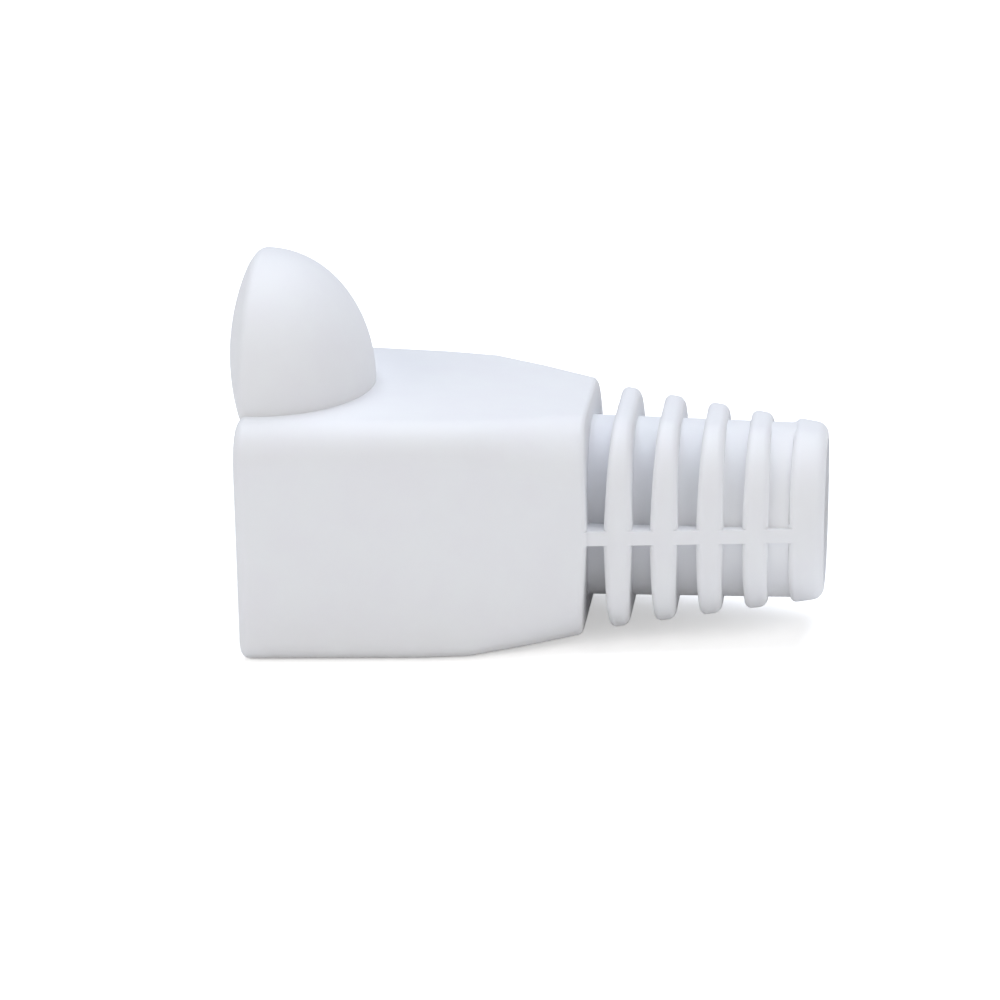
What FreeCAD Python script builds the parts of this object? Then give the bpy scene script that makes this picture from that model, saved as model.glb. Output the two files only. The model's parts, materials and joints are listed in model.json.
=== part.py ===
"""Strain relief boot for an RJ45 plug: one moulding in soft PVC.

X runs along the cable, from the plug mouth (x = 0) to the cable exit. Z is up, towards the
bubble that covers the plug's latch. The origin is the centre of the plug mouth, on the
cable's axis. All sizes are in millimetres and degrees.
"""
import FreeCAD, Part
import math
import os

from FreeCAD import Vector

# What the boot fits
PLUG_WIDTH = 11.68
PLUG_GRIP_DEPTH = 5.5
PLUG_CLEARANCE = 0.06
CABLE_DIAMETER = 5.5
CABLE_CLEARANCE = 0.10

# Hood: the box that covers the back of the plug
HOOD_HEIGHT = 9.3
MOUTH_WIDTH = 14.4
MOUTH_RAKE = 1.2
MOUTH_RIM_RADIUS = 0.35
WAIST_X = 8.8
WAIST_WIDTH = 12.45
WAIST_BEND = 2.0
SHOULDER_X = 13.2
SHOULDER_WIDTH = 9.6
SHOULDER_HEIGHT = 8.7
WALL = 0.85

# Corner radii of the hood's section at the mouth, the waist and the shoulder
TOP_CORNERS = (1.6, 1.45, 2.55)
BOTTOM_CORNERS = (0.85, 0.85, 2.2)

# Bubble over the latch: half an egg that lies on the hood's top, its front rim turned in
BUBBLE_RADIUS = 5.23
BUBBLE_LENGTH = 4.3
BUBBLE_CREST_X = 0.2
BUBBLE_RIM_RADIUS = 0.45
BUBBLE_RIM_SLOPE = 55.0
BUBBLE_BOW = 0.45
BUBBLE_WALL = 0.85
BUBBLE_END_WALL = 1.3
BUBBLE_END_CHAMFER = 1.6

# Tail: a tube with ribs round it, joined by a spine along each side. A pair of values belongs
# to the slot, or the end of the tube, next to the hood and to the one next to the exit.
TAIL_LENGTH = 9.0
TAIL_INSET = 0.08
EXIT_DIAMETER = 6.7
EXIT_CORNER_RADIUS = 3.1
EXIT_EDGE_RADIUS = 0.5
CORE_DIAMETERS = (7.06, 6.8)
SLOT_COUNT = 5
SLOT_PITCH = 1.725
SLOT_WIDTHS = (0.62, 0.75)
SLOT_DRAFTS = (2.8, 1.0)
RIB_CHAMFER = 0.17
SHOULDER_CHAMFER = 0.12
SPINE_HEIGHT = 0.55

# Inside: a tapered socket for the plug, a heel pocket behind it and a lead-in to the cable's bore
SOCKET_CORNER_RADIUS = 0.7
HEEL_WIDTHS = (10.2, 8.6)
HEEL_HEIGHT = 6.2
HEEL_LENGTH = 4.6
HEEL_CORNER_RADIUS = 1.2
LEAD_IN_LENGTH = 1.6

# Trimming tools are much larger than the boot, and cutting tools start clear of it
BEYOND = 20.0
CLEAR = 1.0

# An edge belongs to a face when it lies within this distance of it
NEAR = 0.1


def slope(degrees):
    """Rise over run of an angle."""
    return math.tan(math.radians(degrees))


def blend(x, mouth, waist, shoulder):
    """A value that runs straight to the waist and on to the shoulder, with a parabolic bend."""
    run = x - WAIST_X
    if abs(run) >= WAIST_BEND:
        return piecewise(x, (mouth, waist, shoulder))
    first = (waist - mouth) / WAIST_X
    second = (shoulder - waist) / (SHOULDER_X - WAIST_X)
    bend = (second - first) * (run ** 2 + WAIST_BEND ** 2) / (4 * WAIST_BEND)
    return waist + (first + second) / 2 * run + bend


def piecewise(x, values):
    """Linear between the values given at the mouth, the waist and the shoulder."""
    mouth, waist, shoulder = values
    if x < WAIST_X:
        return mouth + (waist - mouth) * x / WAIST_X
    return waist + (shoulder - waist) * (x - WAIST_X) / (SHOULDER_X - WAIST_X)


def rounded_section(x, width, height, top_radius, bottom_radius):
    """A rectangle in the plane at x, centred on the cable's axis, with round corners."""
    y, z = width / 2, height / 2
    top = min(top_radius, 0.96 * min(y, z))
    bottom = min(bottom_radius, 0.96 * min(y, z))
    half = math.sqrt(0.5)

    def corner(side, level, radius):
        centre_y, centre_z = side * (y - radius), level * (z - radius)
        flank = Vector(x, side * y, centre_z)
        middle = Vector(x, centre_y + side * half * radius, centre_z + level * half * radius)
        crown = Vector(x, centre_y, level * z)
        return flank, middle, crown

    points = [
        corner(1, 1, top),
        corner(-1, 1, top)[::-1],
        corner(-1, -1, bottom),
        corner(1, -1, bottom)[::-1],
    ]
    edges = []
    for index, (start, middle, end) in enumerate(points):
        following = points[(index + 1) % 4][0]
        edges.append(Part.Arc(start, middle, end).toShape())
        edges.append(Part.LineSegment(end, following).toShape())
    return Part.Wire(edges)


def loft(sections):
    """A ruled solid through rounded sections, its flat walls made true planes."""
    faces = []
    for face in Part.makeLoft(sections, True, True).Faces:
        plane = face.findPlane()
        if plane:
            flat = Part.Face(plane, face.OuterWire)
            if flat.normalAt(0, 0).dot(face.normalAt(0, 0)) < 0:
                flat.reverse()
            face = flat
        faces.append(face)
    return Part.makeSolid(Part.makeShell(faces))


def hood_size(x):
    """The hood's outside width and height at x."""
    width = blend(x, MOUTH_WIDTH, WAIST_WIDTH, SHOULDER_WIDTH)
    height = blend(x, HOOD_HEIGHT, HOOD_HEIGHT, SHOULDER_HEIGHT)
    return width, height


def hood_block():
    """The hood's outside, solid, from in front of the mouth to the shoulder."""
    stations = [-CLEAR, WAIST_X - WAIST_BEND, WAIST_X, WAIST_X + WAIST_BEND, SHOULDER_X]
    wires = []
    for x in stations:
        width, height = hood_size(x)
        wires.append(rounded_section(x, width, height, piecewise(x, TOP_CORNERS),
                                     piecewise(x, BOTTOM_CORNERS)))
    return loft(wires)


def tail_end():
    """Where the cable leaves the boot."""
    return SHOULDER_X + TAIL_LENGTH


def tail_block():
    """The tail's outer envelope, solid, from the shoulder to the cable exit."""
    width, height = (size - 2 * TAIL_INSET for size in hood_size(SHOULDER_X))
    shoulder = rounded_section(SHOULDER_X, width, height, TOP_CORNERS[2], BOTTOM_CORNERS[2])
    end = rounded_section(tail_end(), EXIT_DIAMETER, EXIT_DIAMETER, EXIT_CORNER_RADIUS,
                          EXIT_CORNER_RADIUS)
    return Part.makeLoft([shoulder, end], True, True)


def slot_walls(index):
    """Where a slot starts and ends beside the spine, and the draft of its two walls."""
    share = index / (SLOT_COUNT - 1)
    width = SLOT_WIDTHS[0] + share * (SLOT_WIDTHS[1] - SLOT_WIDTHS[0])
    draft = SLOT_DRAFTS[0] + share * (SLOT_DRAFTS[1] - SLOT_DRAFTS[0])
    front = SHOULDER_X + index * SLOT_PITCH
    return front, front + width, draft


def slab(front, back, front_draft, back_draft):
    """A slab across the boot, thickest on the cable's axis and thinner above and below.

    It ends just clear of the hood, before its two walls can meet.
    """
    top = HOOD_HEIGHT / 2 + CLEAR
    front_lean = top * slope(front_draft)
    back_lean = top * slope(back_draft)
    corners = [
        Vector(front, -BEYOND, 0),
        Vector(front + front_lean, -BEYOND, top),
        Vector(back - back_lean, -BEYOND, top),
        Vector(back, -BEYOND, 0),
        Vector(back - back_lean, -BEYOND, -top),
        Vector(front + front_lean, -BEYOND, -top),
    ]
    outline = Part.makePolygon(corners + corners[:1])
    return Part.Face(outline).extrude(Vector(0, 2 * BEYOND, 0))


def rim(shape, low, high):
    """The edges that run round the outside of a shape between two values of X.

    Ridges that cross the cable's axis, where two drafted faces meet, are left out.
    """
    edges = []
    for edge in shape.Edges:
        box, centre = edge.BoundBox, edge.CenterOfMass
        off_axis = math.hypot(centre.y, centre.z) > EXIT_DIAMETER / 4
        if box.XMin > low and box.XMax < high and off_axis:
            edges.append(edge)
    return edges


def rib(envelope, index):
    """One rib: the envelope between two slots, with broken edges."""
    front, front_draft = slot_walls(index)[1:]
    back, _, back_draft = slot_walls(index + 1)
    body = envelope.common(slab(front, back, front_draft, back_draft))
    middle = (front + back) / 2
    edges = rim(body, front - NEAR, middle) + rim(body, middle, back + NEAR)
    return body.makeChamfer(RIB_CHAMFER, edges)


def collar_length():
    """The length of the ring between the last slot and the cable exit."""
    return tail_end() - slot_walls(SLOT_COUNT - 1)[1]


def collar(envelope):
    """The plain ring at the cable exit."""
    front, draft = slot_walls(SLOT_COUNT - 1)[1:]
    body = envelope.common(slab(front, tail_end() + BEYOND, draft, 0))
    middle = front + collar_length() / 2
    chamfer = min(RIB_CHAMFER, collar_length() / 4)
    edge_radius = min(EXIT_EDGE_RADIUS, collar_length() / 2)
    body = body.makeChamfer(chamfer, rim(body, front - NEAR, middle))
    return body.makeFillet(edge_radius, rim(body, middle, tail_end() + NEAR))


def tail_run():
    """Where the core and the spines start, inside the hood, and where they end, in the collar."""
    hold = min(WALL, collar_length() * 2 / 3)
    return SHOULDER_X - WALL, slot_walls(SLOT_COUNT - 1)[1] + hold


def core():
    """The tube under the ribs, as a solid cone."""
    start, end = tail_run()
    return Part.makeCone(CORE_DIAMETERS[0] / 2, CORE_DIAMETERS[1] / 2, end - start,
                         Vector(start, 0, 0), Vector(1, 0, 0))


def spines(envelope):
    """The plate that leaves a spine along each side of the tail, flush with the ribs."""
    start, end = tail_run()
    plate = Part.makeBox(end - start, 2 * BEYOND, SPINE_HEIGHT,
                         Vector(start, -BEYOND, -SPINE_HEIGHT / 2))
    return envelope.fuse(hood_block()).common(plate)


def hood():
    """The hood's outside with its raked mouth and drafted rear face."""
    body = hood_block().common(slab(-BEYOND, SHOULDER_X, 0, SLOT_DRAFTS[0]))
    front = Part.makeBox(BEYOND, 2 * BEYOND, 2 * BEYOND, Vector(-BEYOND, -BEYOND, -BEYOND))
    front.rotate(Vector(0, 0, 0), Vector(0, 1, 0), -MOUTH_RAKE)
    body = body.cut(front)
    reach = HOOD_HEIGHT * slope(MOUTH_RAKE)
    body = body.makeFillet(MOUTH_RIM_RADIUS, rim(body, -reach, reach))
    rear = SHOULDER_X - SHOULDER_HEIGHT * slope(SLOT_DRAFTS[0])
    return body.makeChamfer(SHOULDER_CHAMFER, rim(body, rear, SHOULDER_X + NEAR))


def quarter_ellipse(crest, tip, centre):
    """The arc of an ellipse between its crest and its tip, whichever is farther out."""
    if crest.distanceToPoint(centre) > tip.distanceToPoint(centre):
        ellipse = Part.Ellipse(crest, tip, centre)
    else:
        ellipse = Part.Ellipse(tip, crest, centre)
    return ellipse.toBSpline(0, math.pi / 2).toShape()


def bubble_body():
    """The bubble turned about its own axis, longer in front than it ends up.

    The outline is drawn below the axis, so that the seam lies inside the hood.
    """
    centre = Vector(BUBBLE_CREST_X, 0, HOOD_HEIGHT / 2)
    crest = centre - Vector(0, 0, BUBBLE_RADIUS)
    back = centre + Vector(BUBBLE_LENGTH, 0, 0)

    def on_rim(degrees):
        turn = math.radians(degrees)
        return crest + Vector(-math.sin(turn), 0, 1 - math.cos(turn)) * BUBBLE_RIM_RADIUS

    rim_end = on_rim(BUBBLE_RIM_SLOPE)
    front = rim_end + Vector(-1, 0, slope(BUBBLE_RIM_SLOPE))
    outline = Part.Wire([
        quarter_ellipse(crest, back, centre),
        Part.Arc(crest, on_rim(BUBBLE_RIM_SLOPE / 2), rim_end).toShape(),
        Part.makeLine(rim_end, front),
        Part.makeLine(front, Vector(front.x, 0, centre.z)),
        Part.makeLine(Vector(front.x, 0, centre.z), back),
    ])
    return Part.Face(outline).revolve(centre, Vector(1, 0, 0), 360)


def bubble():
    """The bubble's outside, its front rim bowed forward from the mouth's plane."""
    radius = BUBBLE_RADIUS ** 2 / (8 * BUBBLE_BOW) + BUBBLE_BOW / 2
    level = (HOOD_HEIGHT + BUBBLE_RADIUS) / 2
    rake = math.radians(MOUTH_RAKE)
    run = radius - BUBBLE_BOW
    centre_x = -level * math.tan(rake) + run * math.cos(rake)
    bow = Part.makeCylinder(radius, 2 * BEYOND,
                            Vector(centre_x, -BEYOND, level + run * math.sin(rake)),
                            Vector(0, 1, 0))
    above = Part.makeBox(2 * BEYOND, 2 * BEYOND, BEYOND,
                         Vector(-BEYOND, -BEYOND, HOOD_HEIGHT / 2 - WALL))
    return bubble_body().common(bow).common(above)


def bubble_hollow():
    """The room for the latch: round, with a tapered end, open to the mouth and to the socket."""
    length = BUBBLE_CREST_X + BUBBLE_LENGTH - BUBBLE_END_WALL + BEYOND
    body = Part.makeCylinder(BUBBLE_RADIUS - BUBBLE_WALL, length,
                             Vector(-BEYOND, 0, HOOD_HEIGHT / 2), Vector(1, 0, 0))
    end = [edge for edge in body.Edges if edge.BoundBox.XMin > 0]
    return body.makeChamfer(BUBBLE_END_CHAMFER, end)


def tapered_pocket(start, end, widths, height, corner_radius):
    """A pocket of rounded rectangles that narrows along the cable's axis."""
    sections = [
        rounded_section(start, widths[0], height, corner_radius, corner_radius),
        rounded_section(end, widths[1], height, corner_radius, corner_radius),
    ]
    return Part.makeLoft(sections, True, True)


def socket():
    """The tapered socket for the plug. It starts in front of the mouth, to cut clear."""
    mouth_width = MOUTH_WIDTH - 2 * WALL
    grip_width = PLUG_WIDTH + 2 * PLUG_CLEARANCE
    start_width = mouth_width + (mouth_width - grip_width) / PLUG_GRIP_DEPTH * CLEAR
    return tapered_pocket(-CLEAR, PLUG_GRIP_DEPTH, (start_width, grip_width),
                          HOOD_HEIGHT - 2 * WALL, SOCKET_CORNER_RADIUS)


def cable_way():
    """The heel pocket behind the socket, the lead-in and the bore that the cable leaves by."""
    heel_end = PLUG_GRIP_DEPTH + HEEL_LENGTH
    bore_start = heel_end + LEAD_IN_LENGTH
    bore = CABLE_DIAMETER / 2 + CABLE_CLEARANCE
    along = Vector(1, 0, 0)
    heel = tapered_pocket(PLUG_GRIP_DEPTH - WALL, heel_end, HEEL_WIDTHS, HEEL_HEIGHT,
                          HEEL_CORNER_RADIUS)
    lead_in = Part.makeCone(HEEL_HEIGHT / 2, bore, LEAD_IN_LENGTH, Vector(heel_end, 0, 0), along)
    tube = Part.makeCylinder(bore, tail_end() + CLEAR - bore_start, Vector(bore_start, 0, 0),
                             along)
    return heel.fuse([lead_in, tube])


def boot():
    """The whole moulding: hood, bubble and tail, hollowed from the mouth to the exit."""
    envelope = tail_block()
    pieces = [bubble(), core(), spines(envelope), collar(envelope)]
    pieces += [rib(envelope, index) for index in range(SLOT_COUNT - 1)]
    body = hood().fuse(pieces)
    return body.cut([socket(), bubble_hollow(), cable_way()])


if __name__ == "__main__":
    os.makedirs("parts", exist_ok=True)
    moulding = boot()
    moulding.Solids[0].exportStep("parts/strain_relief_boot.step")
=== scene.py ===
"""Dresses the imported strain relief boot: its moulded soft PVC, a pale stage, light and camera.

Everything is in metres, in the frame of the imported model: X along the cable, Z up.
"""

import json
import math

import bmesh
import bpy
from bpy.props import FloatProperty, FloatVectorProperty, IntProperty, PointerProperty
from mathutils import Matrix, Vector

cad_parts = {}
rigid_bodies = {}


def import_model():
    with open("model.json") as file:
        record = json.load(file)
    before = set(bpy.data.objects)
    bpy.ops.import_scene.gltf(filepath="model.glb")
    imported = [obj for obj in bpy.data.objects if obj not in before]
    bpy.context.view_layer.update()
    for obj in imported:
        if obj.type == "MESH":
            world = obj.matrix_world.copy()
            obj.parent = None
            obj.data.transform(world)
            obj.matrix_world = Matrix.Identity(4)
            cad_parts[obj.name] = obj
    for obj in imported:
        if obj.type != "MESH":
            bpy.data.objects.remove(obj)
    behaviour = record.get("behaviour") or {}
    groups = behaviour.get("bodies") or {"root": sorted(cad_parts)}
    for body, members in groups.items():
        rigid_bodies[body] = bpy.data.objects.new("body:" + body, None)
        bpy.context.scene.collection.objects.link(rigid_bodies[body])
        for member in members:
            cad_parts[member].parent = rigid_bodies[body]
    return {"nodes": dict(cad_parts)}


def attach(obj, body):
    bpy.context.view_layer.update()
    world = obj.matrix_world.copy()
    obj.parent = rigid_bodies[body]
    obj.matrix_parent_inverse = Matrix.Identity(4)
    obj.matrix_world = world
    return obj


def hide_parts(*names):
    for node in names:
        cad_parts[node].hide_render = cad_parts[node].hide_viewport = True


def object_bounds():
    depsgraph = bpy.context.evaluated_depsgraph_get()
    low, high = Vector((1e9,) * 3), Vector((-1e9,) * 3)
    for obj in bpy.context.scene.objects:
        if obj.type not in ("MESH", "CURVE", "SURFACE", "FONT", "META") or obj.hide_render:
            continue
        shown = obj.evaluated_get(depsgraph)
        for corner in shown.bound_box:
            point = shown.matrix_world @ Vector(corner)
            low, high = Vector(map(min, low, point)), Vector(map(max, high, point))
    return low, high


bl_info = {
    "name": "Strain Relief Boot",
    "version": (1, 0, 0),
    "blender": (4, 5, 0),
    "location": "3D View > Sidebar > Boot",
    "description": "Dresses a moulded strain relief boot and sets its stage",
    "category": "Object",
}

NODE = "strain_relief_boot"
MM = 0.001
WHITE = (1, 1, 1, 1)

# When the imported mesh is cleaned, nearer points become one and flatter edges go
WELD_DISTANCE = 0.002 * MM
FLAT_ANGLE = math.radians(0.6)

# The chamfer at the hood's end lies within this distance in front of it
HOOD_CHAMFER_REACH = 1 * MM

# Sockets of the mix nodes, whose names repeat
FACTOR = 0
COLOUR_A, COLOUR_B, MIXED_COLOUR = 6, 7, 2
SHADER_A, SHADER_B = 1, 2

# The camera's sensor, in the millimetres that Blender takes, and the nearest thing it sees
SENSOR_WIDTH = 36
NEAR_CLIP = 10 * MM

for leftover in list(bpy.data.objects):
    bpy.data.objects.remove(leftover)
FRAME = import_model()
CAD_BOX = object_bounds()
REST_LEVEL = CAD_BOX[0].z
MIDDLE = Vector((CAD_BOX[1].x / 2, 0, 0))


def linear(code):
    """An sRGB hex colour, such as E4E7EE, as the linear RGBA that Blender's sockets take."""
    channels = [int(code[at:at + 2], 16) / 255 for at in (0, 2, 4)]
    return [c / 12.92 if c <= 0.04045 else ((c + 0.055) / 1.055) ** 2.4 for c in channels] + [1]


def colour_prop(name, description, code):
    """A colour that the panel shows, with its default given in sRGB hex."""
    return FloatVectorProperty(name=name, description=description, subtype="COLOR", size=4,
                               min=0, max=1, default=linear(code))


def length_prop(name, description, millimetres):
    """A length that the panel shows, with its default given in millimetres."""
    return FloatProperty(name=name, description=description, default=millimetres * MM,
                         min=0, precision=5, unit="LENGTH")


def angle_prop(name, description, degrees):
    """An angle that the panel shows, with its default given in degrees."""
    return FloatProperty(name=name, description=description, default=math.radians(degrees),
                         subtype="ANGLE")


def share_prop(name, description, share):
    """A share from nothing to all that the panel shows."""
    return FloatProperty(name=name, description=description, default=share, min=0, max=1,
                         subtype="FACTOR")


class MouldingSettings(bpy.types.PropertyGroup):
    """How the boot's edges and its soft PVC look."""

    edge_round: length_prop("Edge round", "Radius that the tool leaves on sharp edges", 0.10)
    edge_steps: IntProperty(name="Edge steps", description="Faces across a rounded edge",
                            default=3, min=1)
    edge_angle: FloatVectorProperty(name="Edge angles", size=2, subtype="EULER",
                                    description="Edges between these angles are rounded",
                                    default=(math.radians(32), math.radians(60)))
    hood_end: length_prop("Hood end", "Where the hood ends and the ribs start", 13.25)
    hood_share: share_prop("Hood's share", "Radius at the hood's end, of that on the ribs", 0.65)
    shade_angle: angle_prop("Smooth angle", "Faces that meet at less than this shade as one", 36)
    plastic: colour_prop("PVC", "Main colour of the plastic", "E4E5E7")
    plastic_shade: colour_prop("PVC in the flow", "Colour of the faint clouds in it", "E3E3E6")
    fleck: colour_prop("Fleck", "Colour of the few dark specks", "9A9AA2")
    cloud_size: length_prop("Cloud size", "Width of a cloud in the colour", 1.8)
    fleck_spacing: length_prop("Fleck spacing", "Width of a cell that holds one speck", 6.0)
    flow_depth: length_prop("Flow depth", "Depth of the wide waves that the melt leaves", 0.06)
    grain_size: length_prop("Grain", "Width of a grain of the moulded surface", 0.12)
    grain_depth: length_prop("Grain depth", "Depth of that grain", 0.006)
    roughness: share_prop("Roughness", "Roughness of the satin surface", 0.60)
    roughness_range: share_prop("Roughness range", "How far the grain moves it", 0.04)


class StageSettings(bpy.types.PropertyGroup):
    """The floor, the lights and the camera."""

    floor: colour_prop("Floor", "Colour of the floor", "F8F8F8")
    floor_grain: colour_prop("Floor's grain", "Colour of the grains in its paint", "FAFAFA")
    floor_grain_size: length_prop("Floor's grain size", "Width of such a grain", 0.4)
    floor_glow: FloatProperty(name="Floor's glow", description="Added for the camera alone",
                              default=0.45, min=0)
    floor_size: length_prop("Floor size", "Side of the floor", 3000)
    sky: FloatProperty(name="Sky", description="Strength of the even light", default=0.13, min=0)
    top_power: FloatProperty(name="Top light", description="Power of the lamp above", default=10.3,
                             min=0, unit="POWER")
    top_tint: colour_prop("Top light's colour", "Slightly cool, as daylight is", "ECF3FF")
    top_lean: FloatProperty(name="Top light's lean", default=0.32,
                            description="How far behind the boot it hangs, for each unit up")
    side_power: FloatProperty(name="Side lights", description="Power of each lamp at the side",
                              default=4.2, min=0, unit="POWER")
    side_tint: colour_prop("Side lights' colour", "Slightly warm", "FFFCF8")
    side_turn: angle_prop("Side lights' turn", "From straight in front", 55)
    side_rise: angle_prop("Side lights' rise", "Above the floor", 25)
    lamp_size: length_prop("Lamp size", "Side of each square lamp", 900)
    lamp_distance: length_prop("Lamp distance", "From each lamp to the boot", 1000)
    focus: length_prop("View distance", "From the camera to the boot's middle", 180.39)
    aim_aside: length_prop("Aim aside", "How far left of the middle the camera stands", 1.68)
    aim_up: length_prop("Aim up", "How far above the middle it stands", 0.09)
    lens: FloatProperty(name="Lens", description="Focal length", default=165.6,
                        unit="CAMERA")
    turn: angle_prop("Turn", "Camera's turn round the boot", 5.79)
    rise: angle_prop("Rise", "Camera's height angle", 16.73)


def add_node(tree, kind, settings=None, links=None):
    """Adds a node, gives it its settings by attribute or socket, and links its inputs."""
    node = tree.nodes.new(kind)
    for key, value in (settings or {}).items():
        if isinstance(key, str) and hasattr(node, key):
            setattr(node, key, value)
        else:
            node.inputs[key].default_value = value
    for key, socket in (links or {}).items():
        tree.links.new(socket, node.inputs[key])
    return node


def new_material(name):
    """An empty node material and its tree."""
    material = bpy.data.materials.new(name)
    material.use_nodes = True
    material.node_tree.nodes.clear()
    return material, material.node_tree


def moulded_soft_pvc(settings):
    """Plasticised PVC, injection moulded: a soft satin white that light enters a little.

    The melt leaves faint clouds in the colour and a specked pellet here and there. The tool's
    spark-eroded face leaves a fine grain, which spreads the highlights.
    """
    material, tree = new_material("moulded soft PVC")
    place = add_node(tree, "ShaderNodeTexCoord").outputs["Object"]

    clouds = add_node(tree, "ShaderNodeTexNoise",
                      {"Scale": 1 / settings.cloud_size, "Detail": 3.0, "Roughness": 0.55},
                      {"Vector": place})
    soft = add_node(tree, "ShaderNodeMapRange", {"From Min": 0.35, "From Max": 0.65},
                    {"Value": clouds.outputs["Fac"]})
    body = add_node(tree, "ShaderNodeMix",
                    {"data_type": "RGBA", COLOUR_A: settings.plastic_shade,
                     COLOUR_B: settings.plastic},
                    {FACTOR: soft.outputs["Result"]})

    # A speck is a ball, a fortieth of its cell across, and shows only where the surface cuts it
    cells = add_node(tree, "ShaderNodeTexVoronoi", {"Scale": 1 / settings.fleck_spacing},
                     {"Vector": place})
    speck = add_node(tree, "ShaderNodeMapRange",
                     {"interpolation_type": "SMOOTHSTEP", "From Min": 0.009, "From Max": 0.016,
                      "To Min": 1.0, "To Max": 0.0},
                     {"Value": cells.outputs["Distance"]})
    colour = add_node(tree, "ShaderNodeMix", {"data_type": "RGBA", COLOUR_B: settings.fleck},
                      {FACTOR: speck.outputs["Result"], COLOUR_A: body.outputs[MIXED_COLOUR]})

    grain = add_node(tree, "ShaderNodeTexNoise",
                     {"Scale": 1 / settings.grain_size, "Detail": 2.0}, {"Vector": place})
    flow = add_node(tree, "ShaderNodeTexNoise",
                    {"Scale": 0.5 / settings.cloud_size, "Detail": 1.0}, {"Vector": place})
    waves = add_node(tree, "ShaderNodeBump",
                     {"Strength": 0.35, "Distance": settings.flow_depth},
                     {"Height": flow.outputs["Fac"]})
    surface = add_node(tree, "ShaderNodeBump",
                       {"Strength": 0.25, "Distance": settings.grain_depth},
                       {"Height": grain.outputs["Fac"], "Normal": waves.outputs["Normal"]})
    sheen = add_node(tree, "ShaderNodeMapRange",
                     {"From Min": 0.3, "From Max": 0.7,
                      "To Min": settings.roughness - settings.roughness_range,
                      "To Max": settings.roughness + settings.roughness_range},
                     {"Value": grain.outputs["Fac"]})

    shader = add_node(tree, "ShaderNodeBsdfPrincipled",
                      {"IOR": 1.53, "Specular IOR Level": 0.4, "Subsurface Weight": 0.08,
                       "Subsurface Radius": (1.0, 0.92, 0.9), "Subsurface Scale": 0.3 * MM},
                      {"Base Color": colour.outputs[MIXED_COLOUR],
                       "Roughness": sheen.outputs["Result"],
                       "Normal": surface.outputs["Normal"]})
    add_node(tree, "ShaderNodeOutputMaterial", None, {"Surface": shader.outputs["BSDF"]})
    return material


def sprayed_white_board(settings):
    """A board sprayed matt white: no gloss, and the camera sees it as bright as paper."""
    material, tree = new_material("sprayed white board")
    place = add_node(tree, "ShaderNodeTexCoord").outputs["Object"]
    grain = add_node(tree, "ShaderNodeTexNoise", {"Scale": 1 / settings.floor_grain_size},
                     {"Vector": place})
    tone = add_node(tree, "ShaderNodeMix",
                    {"data_type": "RGBA", COLOUR_A: settings.floor,
                     COLOUR_B: settings.floor_grain},
                    {FACTOR: grain.outputs["Fac"]})
    paint = add_node(tree, "ShaderNodeBsdfDiffuse", None, {"Color": tone.outputs[MIXED_COLOUR]})
    glow = add_node(tree, "ShaderNodeEmission", {"Strength": settings.floor_glow})
    seen = add_node(tree, "ShaderNodeAddShader", None,
                    {0: paint.outputs["BSDF"], 1: glow.outputs["Emission"]})
    path = add_node(tree, "ShaderNodeLightPath")
    mix = add_node(tree, "ShaderNodeMixShader", None,
                   {FACTOR: path.outputs["Is Camera Ray"], SHADER_A: paint.outputs["BSDF"],
                    SHADER_B: seen.outputs["Shader"]})
    add_node(tree, "ShaderNodeOutputMaterial", None, {"Surface": mix.outputs["Shader"]})
    return material


class BOOT_OT_moulding(bpy.types.Operator):
    """Makes the boot's one moulding with its edges rounded as the tool leaves them"""

    bl_idname = "boot.moulding"
    bl_label = "Boot moulding"

    def execute(self, context):
        settings = context.scene.boot_moulding
        moulding = self.copy_packed_mesh(context)
        self.mark_broken_edges(moulding.data, settings)
        self.round_edges(moulding, settings)
        moulding.data.materials.clear()
        moulding.data.materials.append(moulded_soft_pvc(settings))
        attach(moulding, "root")
        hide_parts(NODE)
        return {"FINISHED"}

    def copy_packed_mesh(self, context):
        """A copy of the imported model's mesh, welded, and with its flat faces made whole."""
        bpy.ops.object.select_all(action="DESELECT")
        moulding = bpy.data.objects.new("boot_moulding", FRAME["nodes"][NODE].data.copy())
        context.scene.collection.objects.link(moulding)
        context.view_layer.objects.active = moulding
        moulding.select_set(True)
        bpy.ops.mesh.customdata_custom_splitnormals_clear()
        bpy.ops.object.mode_set(mode="EDIT")
        bpy.ops.mesh.select_all(action="SELECT")
        bpy.ops.mesh.remove_doubles(threshold=WELD_DISTANCE)
        bpy.ops.mesh.dissolve_limited(angle_limit=FLAT_ANGLE)
        bpy.ops.object.mode_set(mode="OBJECT")
        return moulding

    def mark_broken_edges(self, mesh, settings):
        """Marks the edges of the ribs' and the hood's chamfers, which are rounded off.

        A chamfer meets its faces at about 45 degrees. The hood's is narrower than the ribs'.
        """
        low, high = settings.edge_angle
        shape = bmesh.new()
        shape.from_mesh(mesh)
        weight = shape.edges.layers.float.new("bevel_weight_edge")
        marked = 0
        for edge in shape.edges:
            middle = (edge.verts[0].co + edge.verts[1].co) / 2
            if middle.x < settings.hood_end - HOOD_CHAMFER_REACH or not edge.is_convex:
                continue
            if low < edge.calc_face_angle(0) < high:
                edge[weight] = settings.hood_share if middle.x < settings.hood_end else 1.0
                marked += 1
        shape.to_mesh(mesh)
        shape.free()
        if not marked:
            raise RuntimeError("no chamfer was found on the moulding")

    def round_edges(self, moulding, settings):
        """Rounds the marked edges and shades the curved faces smooth."""
        bevel = moulding.modifiers.new("rounded edges", "BEVEL")
        bevel.limit_method = "WEIGHT"
        bevel.use_clamp_overlap = False
        bevel.width = settings.edge_round
        bevel.segments = settings.edge_steps
        bpy.ops.object.modifier_apply(modifier=bevel.name)
        bpy.ops.object.shade_smooth_by_angle(angle=settings.shade_angle)


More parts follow.
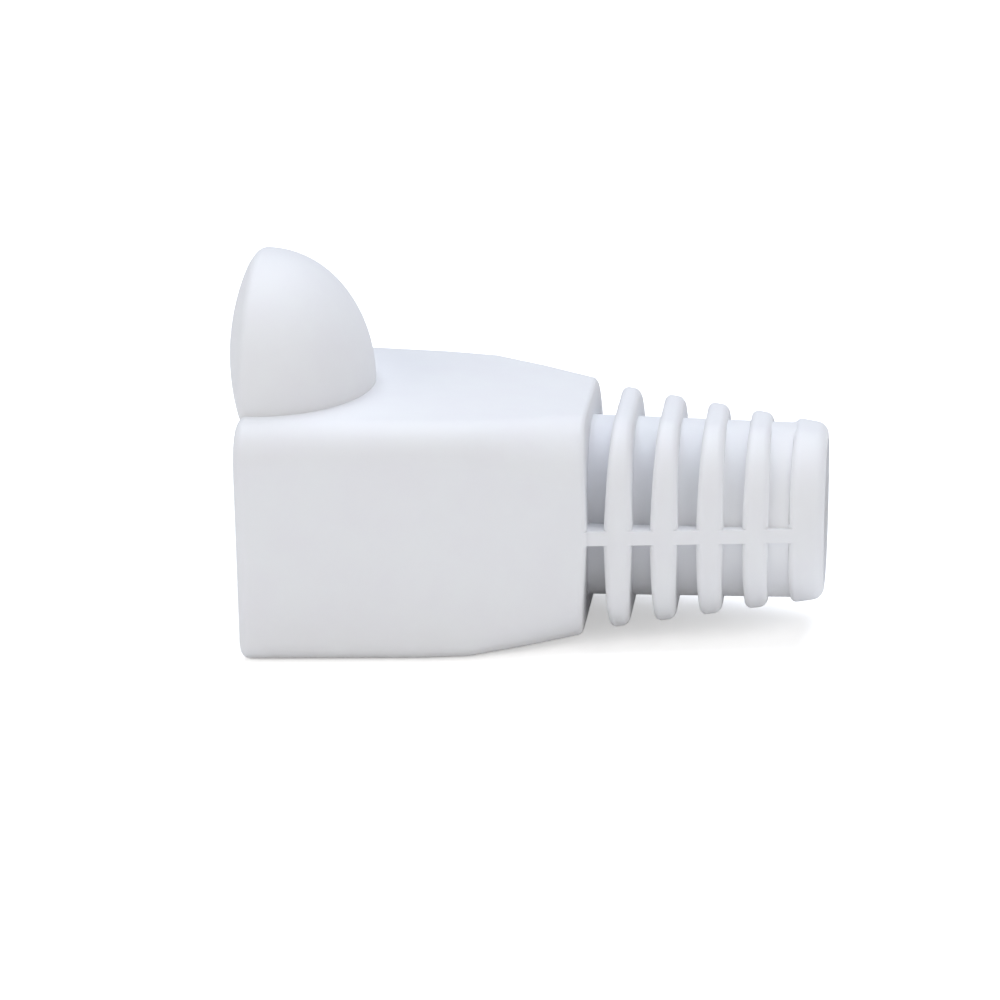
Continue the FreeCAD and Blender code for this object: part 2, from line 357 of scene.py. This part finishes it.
class BOOT_OT_stage(bpy.types.Operator):
    """Sets the pale floor, the soft lights and the camera"""

    bl_idname = "boot.stage"
    bl_label = "Stage"

    def execute(self, context):
        settings = context.scene.boot_stage
        self.add_floor(context, settings)
        self.add_even_light(context, settings)
        self.add_lamps(context, settings)
        self.add_camera(context, settings)
        context.scene.view_settings.view_transform = "Standard"
        return {"FINISHED"}

    def add_floor(self, context, settings):
        """A wide floor that the boot rests on."""
        bpy.ops.object.select_all(action="DESELECT")
        bpy.ops.mesh.primitive_plane_add(size=settings.floor_size, location=(0, 0, REST_LEVEL))
        floor = context.active_object
        floor.name = "floor"
        bpy.ops.object.transform_apply(location=True)
        floor.data.materials.append(sprayed_white_board(settings))

    def add_even_light(self, context, settings):
        """Weak light from all round, which the camera sees as plain white."""
        world = bpy.data.worlds.new("even light")
        context.scene.world = world
        world.use_nodes = True
        tree = world.node_tree
        tree.nodes.clear()
        path = add_node(tree, "ShaderNodeLightPath")
        even = add_node(tree, "ShaderNodeBackground", {"Color": WHITE, "Strength": settings.sky})
        white = add_node(tree, "ShaderNodeBackground", {"Color": WHITE, "Strength": 1.0})
        mix = add_node(tree, "ShaderNodeMixShader", None,
                       {FACTOR: path.outputs["Is Camera Ray"],
                        SHADER_A: even.outputs["Background"],
                        SHADER_B: white.outputs["Background"]})
        add_node(tree, "ShaderNodeOutputWorld", None, {"Surface": mix.outputs["Shader"]})

    def add_lamps(self, context, settings):
        """A wide lamp above, a little behind the boot, and one at each side."""
        turn, rise = settings.side_turn, settings.side_rise
        aside, back = math.sin(turn) * math.cos(rise), -math.cos(turn) * math.cos(rise)
        for name, power, tint, direction in (
                ("lamp above", settings.top_power, settings.top_tint,
                 (0, settings.top_lean, 1)),
                ("lamp at the left", settings.side_power, settings.side_tint,
                 (-aside, back, math.sin(rise))),
                ("lamp at the right", settings.side_power, settings.side_tint,
                 (aside, back, math.sin(rise)))):
            lamp = bpy.data.objects.new(name, bpy.data.lights.new(name, "AREA"))
            context.scene.collection.objects.link(lamp)
            lamp.data.size = settings.lamp_size
            lamp.data.energy = power
            lamp.data.color = tint[:3]
            away = Vector(direction).normalized()
            lamp.location = MIDDLE + away * settings.lamp_distance
            lamp.rotation_euler = away.to_track_quat("Z", "Y").to_euler()

    def add_camera(self, context, settings):
        """The camera, aimed a little off the boot's middle."""
        turn, rise = settings.turn, settings.rise
        towards = Vector((math.sin(turn) * math.cos(rise), -math.cos(turn) * math.cos(rise),
                          math.sin(rise)))
        right = Vector((math.cos(turn), math.sin(turn), 0))
        up = Vector((-math.sin(turn) * math.sin(rise), math.cos(turn) * math.sin(rise),
                     math.cos(rise)))
        place = (MIDDLE + towards * settings.focus - right * settings.aim_aside
                 + up * settings.aim_up)
        data = bpy.data.cameras.new("camera")
        data.lens = settings.lens
        data.sensor_width = SENSOR_WIDTH
        data.clip_start = NEAR_CLIP
        camera = bpy.data.objects.new("camera", data)
        context.scene.collection.objects.link(camera)
        turned = Matrix((right, up, towards)).transposed().to_4x4()
        camera.matrix_world = Matrix.Translation(place) @ turned
        context.scene.camera = camera


class BOOT_PT_panel(bpy.types.Panel):
    """The boot's settings and its two steps"""

    bl_idname = "BOOT_PT_panel"
    bl_label = "Strain relief boot"
    bl_space_type = "VIEW_3D"
    bl_region_type = "UI"
    bl_category = "Boot"

    def draw(self, context):
        for settings, step in ((context.scene.boot_moulding, BOOT_OT_moulding),
                               (context.scene.boot_stage, BOOT_OT_stage)):
            box = self.layout.box()
            box.operator(step.bl_idname)
            for name in settings.__annotations__:
                box.prop(settings, name)


CLASSES = (MouldingSettings, StageSettings, BOOT_OT_moulding, BOOT_OT_stage, BOOT_PT_panel)


def register():
    for kind in CLASSES:
        bpy.utils.register_class(kind)
    bpy.types.Scene.boot_moulding = PointerProperty(type=MouldingSettings)
    bpy.types.Scene.boot_stage = PointerProperty(type=StageSettings)


def unregister():
    del bpy.types.Scene.boot_stage
    del bpy.types.Scene.boot_moulding
    for kind in reversed(CLASSES):
        bpy.utils.unregister_class(kind)


def main():
    """Dresses the boot."""
    register()
    bpy.ops.boot.moulding()
    bpy.ops.boot.stage()


if __name__ == "__main__":
    main()
